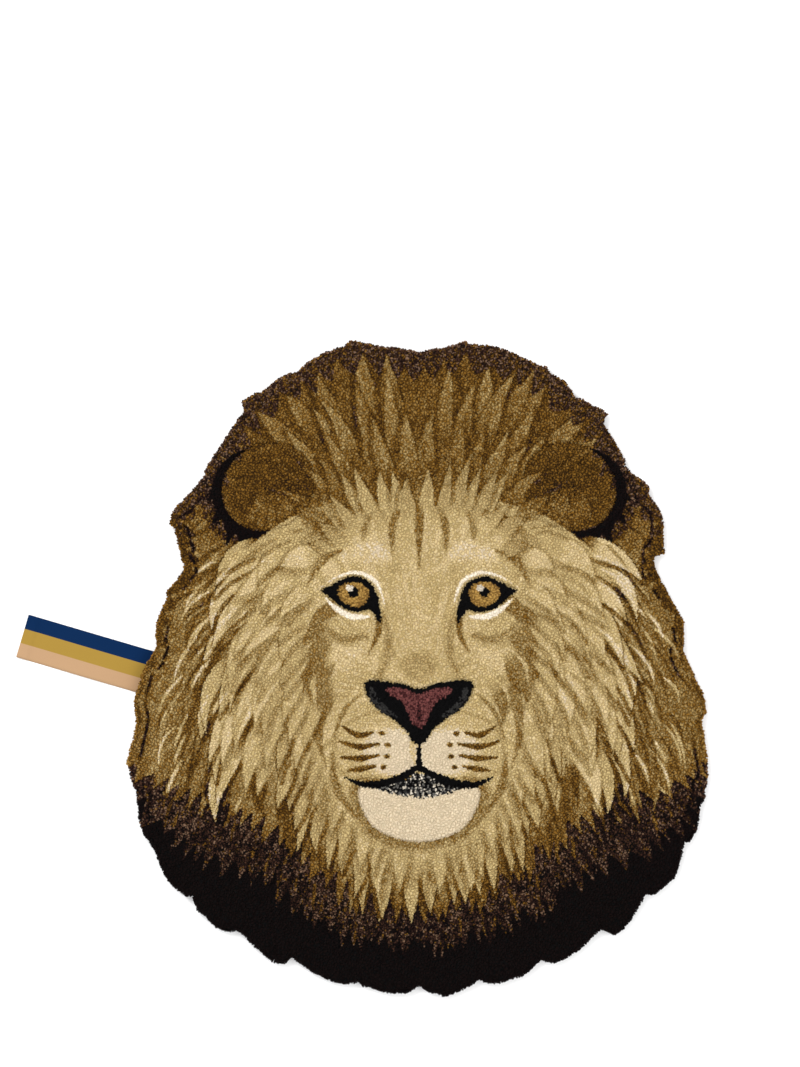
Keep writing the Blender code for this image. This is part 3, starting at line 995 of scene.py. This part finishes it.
def build_pile(corners, cells, middles, edge, bundle, pile, colours):
    """The pile as one mesh for each band, from the crown down, with no bundle split, and with painted shade
    in the colours of its gaps and dips.
    """
    rng = np.random.default_rng(5)
    bundles = bundle.max() + 1
    swell = TOP_SWELL * (noise(middles[:, 0] * 28 + 50, middles[:, 1] * 28 + 50, 8) - 0.5)
    top = read(TOP_HEIGHTS, edge) + swell - CARVE_DEPTH * pile.cut[:len(middles)]
    height = top + BUNDLE_RISE * (2 * rng.random(bundles)[bundle] - 1)
    height = height + END_RISE * (2 * rng.random(len(top)) - 1)
    lean = (BUNDLE_LEAN * (2 * rng.random((bundles, 2)) - 1))[bundle]
    lowest = np.full(len(corners), FAR)
    touching = np.zeros(len(corners), int)
    least = np.full(len(corners), bundles)
    most = np.full(len(corners), -1)
    for corner in cells.T:
        np.minimum.at(lowest, corner, height)
        np.add.at(touching, corner, 1)
        np.minimum.at(least, corner, bundle)
        np.maximum.at(most, corner, bundle)
    inner = (least == most) & (touching == 3)
    depth = np.where(inner, DIP_DEPTH, np.where(touching == 3, GAP_DEPTH, EDGE_DEPTH))
    corner_height = np.where(touching > 0, lowest, 0) - depth * (0.8 + 0.4 * rng.random(len(corners)))
    # Painted shade: the corners in the gaps and dips take their yarn's colour darkened by these shares.
    gap_painted_shade = read(GAP_PAINTED_SHADES, pile.tone[:len(middles)])
    faces, end, first_top = end_faces(cells, bundle)
    places = np.vstack([np.c_[corners, corner_height][:first_top], np.c_[middles + lean, height]])
    is_top = faces >= first_top
    colour_of = np.where(is_top, faces - first_top, end[:, None])
    dip_and_gap_painted_shade = np.where(inner[np.where(is_top, 0, faces)], DIP_PAINTED_SHADE, gap_painted_shade[end][:, None])
    painted_shades = np.where(is_top, 1.0, dip_and_gap_painted_shade)
    face_colours = colours[colour_of] * painted_shades[..., None]
    middle_height = np.bincount(bundle, middles[:, 1]) / np.bincount(bundle)
    borders = np.quantile(middle_height[bundle], np.linspace(1, 0, len(PILE_BANDS) + 1))
    band = np.clip(np.searchsorted(-borders, -middle_height[bundle]) - 1, 0, len(PILE_BANDS) - 1)
    pieces = []
    for number, name in enumerate(PILE_BANDS):
        chosen = band[end] == number
        pieces.append(pile_band(name, places, faces[chosen], first_top, face_colours[chosen]))
    return pieces


def pile_band(name, places, faces, first_top, colours):
    used, local = np.unique(faces, return_inverse=True)
    local = local.reshape(faces.shape)
    piece = new_mesh(name, places[used], local)
    mesh = piece.data
    ends = np.empty(len(mesh.edges) * 2, np.int32)
    mesh.edges.foreach_get("vertices", ends)
    in_gap = (used[ends.reshape(-1, 2)] < first_top).all(1)
    mesh.attributes.new("sharp_edge", "BOOLEAN", "EDGE").data.foreach_set("value", in_gap)
    set_yarn_colours(mesh, colours.reshape(-1, 3))
    map_from_above(mesh, places[faces])
    return piece


def map_from_above(mesh, triangles):
    """Lays a band out in two rows, left half over right half, so that it fills the map."""
    layer = mesh.uv_layers.new(name="OFBake")
    spots = triangles[..., :2]
    left = (spots[..., 0].mean(1) < 0)[:, None]
    low = spots.reshape(-1, 2).min(0)
    high = spots.reshape(-1, 2).max(0)
    half = max(-low[0], high[0]) + PITCH
    u = (np.where(left, -spots[..., 0], spots[..., 0]) + PITCH) / (half + PITCH)
    v = (spots[..., 1] - low[1]) / (high[1] - low[1]) * 0.495
    v = np.where(left, v + 0.505, v)
    layer.uv.foreach_set("vector", np.stack([u, v], -1).astype(np.float32).ravel())


# ---------------------------------------------------------------- the pile's rim
# Rows of yarn round the edge, outermost first: how far inside the widest line their tips lie, how
# high the tips are, how far inside their feet are, and how thick they are.
RimRow = namedtuple("RimRow", "tip_inset tip_height foot_inset radius")
RIM_ROWS = (
    RimRow(tip_inset=-0.0002, tip_height=0.0094, foot_inset=0.0036, radius=0.0011),
    RimRow(tip_inset=0.0003, tip_height=0.0116, foot_inset=0.0044, radius=0.0011),
    RimRow(tip_inset=0.0013, tip_height=0.0134, foot_inset=0.0052, radius=0.0011),
)
RIM_STEP = 0.0021
RIM_SIDES = 5
RIM_CLUMP = 0.0060           # the rim's yarns lean together in clumps of this length
CLUMP_LEAN = 0.0012          # how far a clump's tips lean out, and how far they rise with it
CLUMP_RISE = 0.0006
TIP_STRAY = 0.0016           # how far single tips stray in and out, up and down, and sideways
TIP_RISE = 0.0014
TIP_SIDEWAYS = 0.0014
ROD_RINGS = ((0.0, 0.75), (0.55, 0.95), (1.0, 1.0))   # share of a yarn's height, and of its thickness
FOOT_PAINTED_SHADE = 0.45            # painted shade: the yarn's colour at its foot, as a share of its tip's colour
PAINTED_SHADE_HEIGHT = 0.009         # how far up from the foot that painted shade reaches
WALL_PAINTED_SHADE = 0.4             # the same kind of painted shade all over the dense foot behind the yarns
FOOT_HEIGHT = 0.0014
WALL_LEVELS = ((0.0038, 0.0012), (0.0030, 0.0060), (0.0034, 0.0100))   # inset, height


def rim_places(ring):
    """Where each yarn of the rim stands: its place on the outline, its outward direction, its row
    and how far out its clump leans, from -1 to 1."""
    length = ring_length(ring)
    count = round(length / RIM_STEP)
    rng = np.random.default_rng(9)
    places, ways, rows, leans = [], [], [], []
    for row in range(len(RIM_ROWS)):
        distances = (np.arange(count) + 0.5 * (row % 2) + 0.5 * (rng.random(count) - 0.5)) * length / count
        spot, way = along_ring(ring, np.mod(distances, length))
        places.append(spot)
        ways.append(way)
        rows.append(np.full(count, row))
        leans.append(2 * noise_along(distances / RIM_CLUMP, 3.5 + row, 12) - 1)
    return np.vstack(places), np.vstack(ways), np.concatenate(rows), np.concatenate(leans)


def build_rim(places, ways, rows, leans, colours):
    rng = np.random.default_rng(10)
    count = len(places)
    sizes = np.array([RIM_ROWS[row] for row in rows])
    tip_inset = sizes[:, 0] - CLUMP_LEAN * leans + TIP_STRAY * (rng.random(count) - 0.5)
    tip_height = sizes[:, 1] + CLUMP_RISE * leans + TIP_RISE * (rng.random(count) - 0.5)
    foot_inset = sizes[:, 2]
    radius = sizes[:, 3] * (0.85 + 0.3 * rng.random(count))
    sideways = np.c_[-ways[:, 1], ways[:, 0]]
    aside = sideways * (TIP_SIDEWAYS * (rng.random(count) - 0.5))[:, None]
    rings = []
    for share, swell in ROD_RINGS:
        inset = foot_inset + (tip_inset - foot_inset) * (1 - (1 - share) ** 2)
        height = FOOT_HEIGHT + (tip_height - FOOT_HEIGHT) * share
        rings.append((places - ways * inset[:, None] + aside * share, height, radius * swell, share))
    points = []
    for centre, height, size, share in rings:
        for side in range(RIM_SIDES):
            angle = 2 * math.pi * side / RIM_SIDES
            spot = centre + size[:, None] * (math.cos(angle) * ways + math.sin(angle) * sideways)
            points.append(np.c_[spot, height - 0.35 * share * size * math.cos(angle)])
    centre, height, size, _ = rings[-1]
    points.append(np.c_[centre + ways * 0.2 * size[:, None], height + 0.0005])
    vertices = np.stack(points, 1).reshape(-1, 3)
    pattern = rod_pattern()
    faces = (np.arange(count)[:, None, None] * len(points) + pattern[None]).reshape(-1, 3)
    # Painted shade: each rim yarn darkens towards its foot.
    lit = np.clip((vertices[faces.ravel(), 2] - FOOT_HEIGHT) / PAINTED_SHADE_HEIGHT, 0, 1)
    painted_shades = FOOT_PAINTED_SHADE + (1 - FOOT_PAINTED_SHADE) * lit
    rim = new_mesh("pile_rim", vertices, faces)
    set_yarn_colours(rim.data, np.repeat(colours, pattern.size, axis=0) * painted_shades[:, None])
    return rim


def rod_pattern():
    """The triangles of one rim yarn: two bands of sides and a blunt tip."""
    pattern = []
    for side in range(RIM_SIDES):
        after = (side + 1) % RIM_SIDES
        for low in (0, RIM_SIDES):
            high = low + RIM_SIDES
            pattern.append((low + side, low + after, high + after))
            pattern.append((low + side, high + after, high + side))
        pattern.append((2 * RIM_SIDES + side, 2 * RIM_SIDES + after, 3 * RIM_SIDES))
    return np.array(pattern)


def build_wall(ring, colours):
    """The dense foot of the pile behind the rim's yarns, in their colours darkened as painted shade."""
    normals = outward_normals(ring)
    count = len(ring)
    levels = [np.c_[ring - normals * inset, np.full(count, height)] for inset, height in WALL_LEVELS]
    here = np.arange(count)
    after = (here + 1) % count
    triangles = []
    for level in range(len(WALL_LEVELS) - 1):
        low = level * count
        triangles.append(np.c_[low + after, low + here, low + count + here])
        triangles.append(np.c_[low + after, low + count + here, low + count + after])
    faces = np.vstack(triangles)
    wall = new_mesh("pile_foot", np.vstack(levels), faces)
    # Painted shade: the foot takes its yarns' colours darkened.
    set_yarn_colours(wall.data, colours[faces.ravel() % count] * WALL_PAINTED_SHADE)
    return wall


# ---------------------------------------------------------------- backing cloth
BACKING_INSET = 0.0040
BACKING_THICKNESS = 0.0015
POCKET_HEIGHT = 0.0012       # the ribbon's tail lies in a pocket of the backing
POCKET_PLAY = 0.001


def build_backing(ring):
    """The canvas under the pile: one flat sheet, with the ribbon's pocket cut from it."""
    rim = ring - outward_normals(ring) * BACKING_INSET
    shape = bmesh.new()
    face = shape.faces.new([shape.verts.new((x, y, BACKING_THICKNESS)) for x, y in rim])
    face.normal_update()
    if face.normal.z < 0:
        face.normal_flip()
    grown = bmesh.ops.extrude_face_region(shape, geom=[face], use_keep_orig=True)
    lower = [item for item in grown["geom"] if isinstance(item, bmesh.types.BMVert)]
    bmesh.ops.translate(shape, verts=lower, vec=(0, 0, -BACKING_THICKNESS))
    bmesh.ops.recalc_face_normals(shape, faces=shape.faces)
    mesh = bpy.data.meshes.new("backing_cloth")
    shape.to_mesh(mesh)
    shape.free()
    cloth = new_object("backing_cloth", mesh)
    cut_pocket(cloth)
    return cloth


def cut_pocket(cloth):
    """Takes the room of the ribbon's tail out of the backing's underside."""
    root, _, _ = label_frame()
    size = (2 * (LABEL_TAIL + POCKET_PLAY), LABEL_WIDTH + POCKET_PLAY, 2 * POCKET_HEIGHT)
    bpy.ops.mesh.primitive_cube_add(size=1)
    cutter = bpy.context.active_object
    cutter.matrix_world = Matrix.LocRotScale(root, Matrix.Rotation(LABEL_HEADING, 3, "Z"), Vector(size))
    cut = cloth.modifiers.new("pocket", "BOOLEAN")
    cut.object = cutter
    cut.solver = "EXACT"
    bpy.context.view_layer.update()
    done = bpy.data.meshes.new_from_object(cloth.evaluated_get(bpy.context.evaluated_depsgraph_get()))
    cloth.modifiers.clear()
    cloth.data = done
    bpy.data.objects.remove(cutter)


# ---------------------------------------------------------------- the ribbon label
LABEL_WIDTH = 0.050
LABEL_HEADING = math.radians(163.6)
LABEL_THICKNESS = 0.0008
LABEL_TAIL = 0.022
LABEL_SHOWN = 0.145
LABEL_SWELL = 0.0014
HEM_LENGTH = 0.009
HEM_RISE = 0.008
HEM_RADIUS = 0.0007
LABEL_ACROSS = 17            # points across the ribbon
LABEL_EASE = 0.03            # the length over which its curl, ripple and lift set in
LABEL_CURL = 0.0005
LABEL_RIPPLE = 0.00025
LABEL_LIFT = 0.00015


def label_frame():
    """Where the ribbon comes out from under the rug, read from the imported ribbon, the way it runs and
    the way across it."""
    way = Vector((math.cos(LABEL_HEADING), math.sin(LABEL_HEADING), 0))
    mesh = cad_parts["ribbon_label"].data
    reach = [vertex.co.dot(way) for vertex in mesh.vertices]
    aside = Vector((way.y, -way.x, 0))
    across = [vertex.co.dot(aside) for vertex in mesh.vertices]
    middle = (max(across) + min(across)) / 2
    root = way * (max(reach) - LABEL_SHOWN) + aside * middle
    return root, way, aside


def label_path():
    """The ribbon's middle line as (along, height), from its tail to the turned-under hem's end."""
    flat = LABEL_THICKNESS / 2
    upper = flat + 2 * HEM_RADIUS
    swell_end = LABEL_SHOWN - HEM_LENGTH - HEM_RISE
    path = []
    for share in np.linspace(0, 1, 10, endpoint=False):
        path.append((-LABEL_TAIL * (1 - share), flat))
    for share in np.linspace(0, 1, 60, endpoint=False):
        path.append((swell_end * share, flat + LABEL_SWELL * math.sin(math.pi * share) ** 2))
    for share in np.linspace(0, 1, 10, endpoint=False):
        path.append((swell_end + HEM_RISE * share, flat + (upper - flat) * share * share * (3 - 2 * share)))
    fold = LABEL_SHOWN - HEM_RADIUS - flat
    for share in np.linspace(0, 1, 5, endpoint=False):
        path.append((swell_end + HEM_RISE + (fold - swell_end - HEM_RISE) * share, upper))
    for turn in np.linspace(0, math.pi, 8):
        path.append((fold + HEM_RADIUS * math.sin(turn), flat + HEM_RADIUS * (1 + math.cos(turn))))
    for share in np.linspace(0.25, 1, 4):
        path.append((fold - (HEM_LENGTH - 0.002) * share, flat))
    return np.array(path)


def build_label():
    """The ribbon, and the length of its middle line."""
    root, way, aside = label_frame()
    path = label_path()
    run = np.r_[0, np.cumsum(np.hypot(*np.diff(path, axis=0).T))]
    across = np.linspace(-0.5, 0.5, LABEL_ACROSS)
    shape = bmesh.new()
    woven = shape.loops.layers.uv.new("weave")
    grid = []
    for (along, height), distance in zip(path, run):
        shown = min(max(along / LABEL_EASE, 0), 1)
        row = []
        for share in across:
            curl = LABEL_CURL * shown * (abs(share) * 2) ** 4
            ripple = LABEL_RIPPLE * shown * math.sin(along * 70 + share * 5)
            place = root + way * along + aside * (share * LABEL_WIDTH)
            place.z = height + curl + ripple + LABEL_LIFT * shown
            row.append((shape.verts.new(place), distance, share))
        grid.append(row)
    for near, far in zip(grid, grid[1:]):
        for left, right, far_right, far_left in zip(near, near[1:], far[1:], far):
            loop = (left, right, far_right, far_left)
            face = shape.faces.new([item[0] for item in loop])
            face.smooth = True
            for corner, item in zip(face.loops, loop):
                corner[woven].uv = (item[1] / LABEL_WIDTH, item[2] + 0.5)
    mesh = bpy.data.meshes.new("ribbon")
    shape.to_mesh(mesh)
    shape.free()
    ribbon = new_object("ribbon", mesh)
    thick = ribbon.modifiers.new("thickness", "SOLIDIFY")
    thick.thickness = LABEL_THICKNESS
    thick.offset = 0
    return ribbon, float(run[-1])


# ---------------------------------------------------------------- materials
def set_values(node, values):
    for socket, value in values.items():
        node.inputs[socket].default_value = value


class Finish:
    """A material in the making, whose nodes end in one shader."""

    def __init__(self, name, roughness, specular):
        self.material = bpy.data.materials.new(name)
        self.material.use_nodes = True
        self.nodes = self.material.node_tree.nodes
        self.shader = self.nodes["Principled BSDF"]
        set_values(self.shader, {"Roughness": roughness, "Specular IOR Level": specular})

    def add(self, kind, values=None, **settings):
        """A node with its settings and its sockets' values."""
        node = self.nodes.new("ShaderNode" + kind)
        for name, value in settings.items():
            setattr(node, name, value)
        set_values(node, values or {})
        return node

    def join(self, source, output, target, socket):
        self.material.node_tree.links.new(source.outputs[output], target.inputs[socket])

    def tint(self, colour, shade):
        """Gives the shader a colour that is made lighter or darker by a shade."""
        tinted = self.add("VectorMath", operation="SCALE")
        self.join(colour, "Color", tinted, 0)
        self.join(shade, "Result", tinted, "Scale")
        self.join(tinted, "Vector", self.shader, "Base Color")

    def bump(self, height, output, strength, distance):
        bump = self.add("Bump", {"Strength": strength, "Distance": distance})
        self.join(height, output, bump, "Height")
        self.join(bump, "Normal", self.shader, "Normal")

    def weave(self, place, output, scales, distortion):
        """Threads that run both ways, as two waves multiplied."""
        cloth = self.add("Math", operation="MULTIPLY")
        for number, direction in enumerate("XY"):
            values = {"Scale": scales[number], "Distortion": distortion}
            threads = self.add("TexWave", values, bands_direction=direction)
            self.join(place, output, threads, "Vector")
            self.join(threads, "Fac", cloth, number)
        return cloth


def pile_material():
    """Wool yarn: the tuft's own colour, with the painted shade that the meshes carry in their gaps, dips
    and feet, broken up by its fibres, matt with a slight bloom.
    """
    wool = Finish("wool_pile", roughness=0.95, specular=0.05)
    set_values(wool.shader, {"Sheen Weight": 0.02, "Sheen Roughness": 0.6})
    place = wool.add("TexCoord")
    yarn = wool.add("Attribute", attribute_name="yarn")
    fibre = wool.add("TexNoise", {"Scale": 1500, "Detail": 2})
    shade = wool.add("MapRange", {"From Min": 0.3, "From Max": 0.7, "To Min": 0.80, "To Max": 1.20})
    wool.join(place, "Object", fibre, "Vector")
    wool.join(fibre, "Fac", shade, "Value")
    wool.tint(yarn, shade)
    wool.bump(fibre, "Fac", 0.5, 0.0003)
    return wool.material


# From the foot side to the crown side: peach, ochre and navy.
STRIPES = ((0.665, 0.535, 0.405), (0.585, 0.47, 0.205), (0.025, 0.135, 0.275))


def ribbon_material():
    """Three plain woven stripes with fine weft ribs."""
    woven = Finish("woven_ribbon", roughness=0.75, specular=0.04)
    place = woven.add("UVMap", uv_map="weave")
    split = woven.add("SeparateXYZ")
    stripes = woven.add("ValToRGB")
    stripes.color_ramp.interpolation = "CONSTANT"
    marks = stripes.color_ramp.elements
    while len(marks) < len(STRIPES):
        marks.new(0.5)
    for number, colour in enumerate(STRIPES):
        marks[number].position = number / len(STRIPES)
        marks[number].color = (*linear(colour), 1)
    woven.join(place, "UV", split, "Vector")
    woven.join(split, "Y", stripes, "Fac")
    cloth = woven.weave(place, "UV", (26, 18), 0.4)
    shade = woven.add("MapRange", {"To Min": 0.90, "To Max": 1.08})
    woven.join(cloth, "Value", shade, "Value")
    woven.tint(stripes, shade)
    woven.bump(cloth, "Value", 0.35, 0.0002)
    return woven.material


CANVAS_COLOURS = {"A": (0.62, 0.56, 0.46), "B": (0.80, 0.75, 0.65)}


def canvas_material():
    """Plain natural cotton canvas for the underside."""
    canvas = Finish("backing_canvas", roughness=0.9, specular=0.15)
    cloth = canvas.weave(canvas.add("TexCoord"), "Object", (160, 160), 0.6)
    shown = {socket: (*linear(colour), 1) for socket, colour in CANVAS_COLOURS.items()}
    colour = canvas.add("Mix", data_type="RGBA")
    set_values(colour, shown)
    canvas.join(cloth, "Value", colour, "Factor")
    canvas.join(colour, "Result", canvas.shader, "Base Color")
    canvas.bump(cloth, "Value", 0.4, 0.0003)
    return canvas.material


# ---------------------------------------------------------------- floor, light and camera
METRES_PER_PIXEL = 0.00113   # on the rug, in the camera's picture
IMAGE_PIXELS = (800, 1067)
RUG_CENTRE_PIXEL = (419, 669)
LENS = 85
SENSOR = 24


def build_floor():
    bpy.ops.mesh.primitive_plane_add(size=12, location=(0, 0, 0))
    floor = bpy.context.active_object
    floor.name = "floor"
    pale = Finish("pale_floor", roughness=0.9, specular=0.1)
    set_values(pale.shader, {"Base Color": (0.93, 0.93, 0.93, 1)})
    floor.data.materials.append(pale.material)


def aim(thing, target):
    way = Vector(target) - thing.location
    thing.rotation_euler = way.to_track_quat("-Z", "Y").to_euler()


def add_light(name, place, size, power):
    data = bpy.data.lights.new(name, "AREA")
    data.shape = "DISK"
    data.size = size
    data.energy = power
    lamp = new_object(name, data)
    lamp.location = place
    aim(lamp, (0, 0, 0))


def build_light():
    world = bpy.data.worlds.new("studio")
    world.use_nodes = True
    sky = world.node_tree.nodes["Background"]
    set_values(sky, {"Color": (1, 1, 1, 1), "Strength": 1.08})
    bpy.context.scene.world = world
    add_light("key", (-1.4, 1.6, 2.6), 1.6, 68)
    add_light("fill", (1.8, -0.8, 2.4), 2.0, 30)
    bpy.context.scene.view_settings.view_transform = "Standard"


def build_camera():
    data = bpy.data.cameras.new("camera")
    data.sensor_fit = "VERTICAL"
    data.sensor_height = SENSOR
    data.lens = LENS
    data.clip_end = 50
    camera = new_object("camera", data)
    height = IMAGE_PIXELS[1] * METRES_PER_PIXEL * LENS / SENSOR
    x = (IMAGE_PIXELS[0] / 2 - RUG_CENTRE_PIXEL[0]) * METRES_PER_PIXEL
    y = (RUG_CENTRE_PIXEL[1] - IMAGE_PIXELS[1] / 2) * METRES_PER_PIXEL
    camera.location = (x, y, height)
    bpy.context.scene.camera = camera


# ---------------------------------------------------------------- all together
def main():
    slab = slab_outline()
    ring = tufted_outline(slab)
    corners, cells, middles, edge = honeycomb(ring)
    bundle = bundle_ends(middles)
    rim_spots, rim_ways, rim_rows, rim_leans = rim_places(ring)
    inside_ring = ring - outward_normals(ring) * COLOUR_DEPTH
    inside_rim = np.vstack([rim_spots - rim_ways * COLOUR_DEPTH, inside_ring])
    spots = np.vstack([middles, inside_rim])
    depth = np.r_[edge, np.full(len(inside_rim), COLOUR_DEPTH)]
    owners = np.r_[bundle, bundle.max() + 1 + np.arange(len(inside_rim))]
    pile = Pile(spots[:, 0], spots[:, 1], depth, owners)
    draw_lion(pile, ring)
    colours = pile.colours()
    in_field = len(middles)
    in_rim = in_field + len(rim_spots)
    pieces = build_pile(corners, cells, middles, edge, bundle, pile, colours[:in_field])
    pieces.append(build_rim(rim_spots, rim_ways, rim_rows, rim_leans, colours[in_field:in_rim]))
    pieces.append(build_wall(ring, colours[in_rim:]))
    wool = pile_material()
    for piece in pieces:
        piece.data.materials.append(wool)
        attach(piece, "root")
        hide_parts("rug")
    backing = build_backing(ring)
    backing.data.materials.append(canvas_material())
    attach(backing, "root")
    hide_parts("rug")
    ribbon, ribbon_length = build_label()
    ribbon.data.materials.append(ribbon_material())
    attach(ribbon, "root")
    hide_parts("ribbon_label")
    build_floor()
    build_light()
    build_camera()


main()
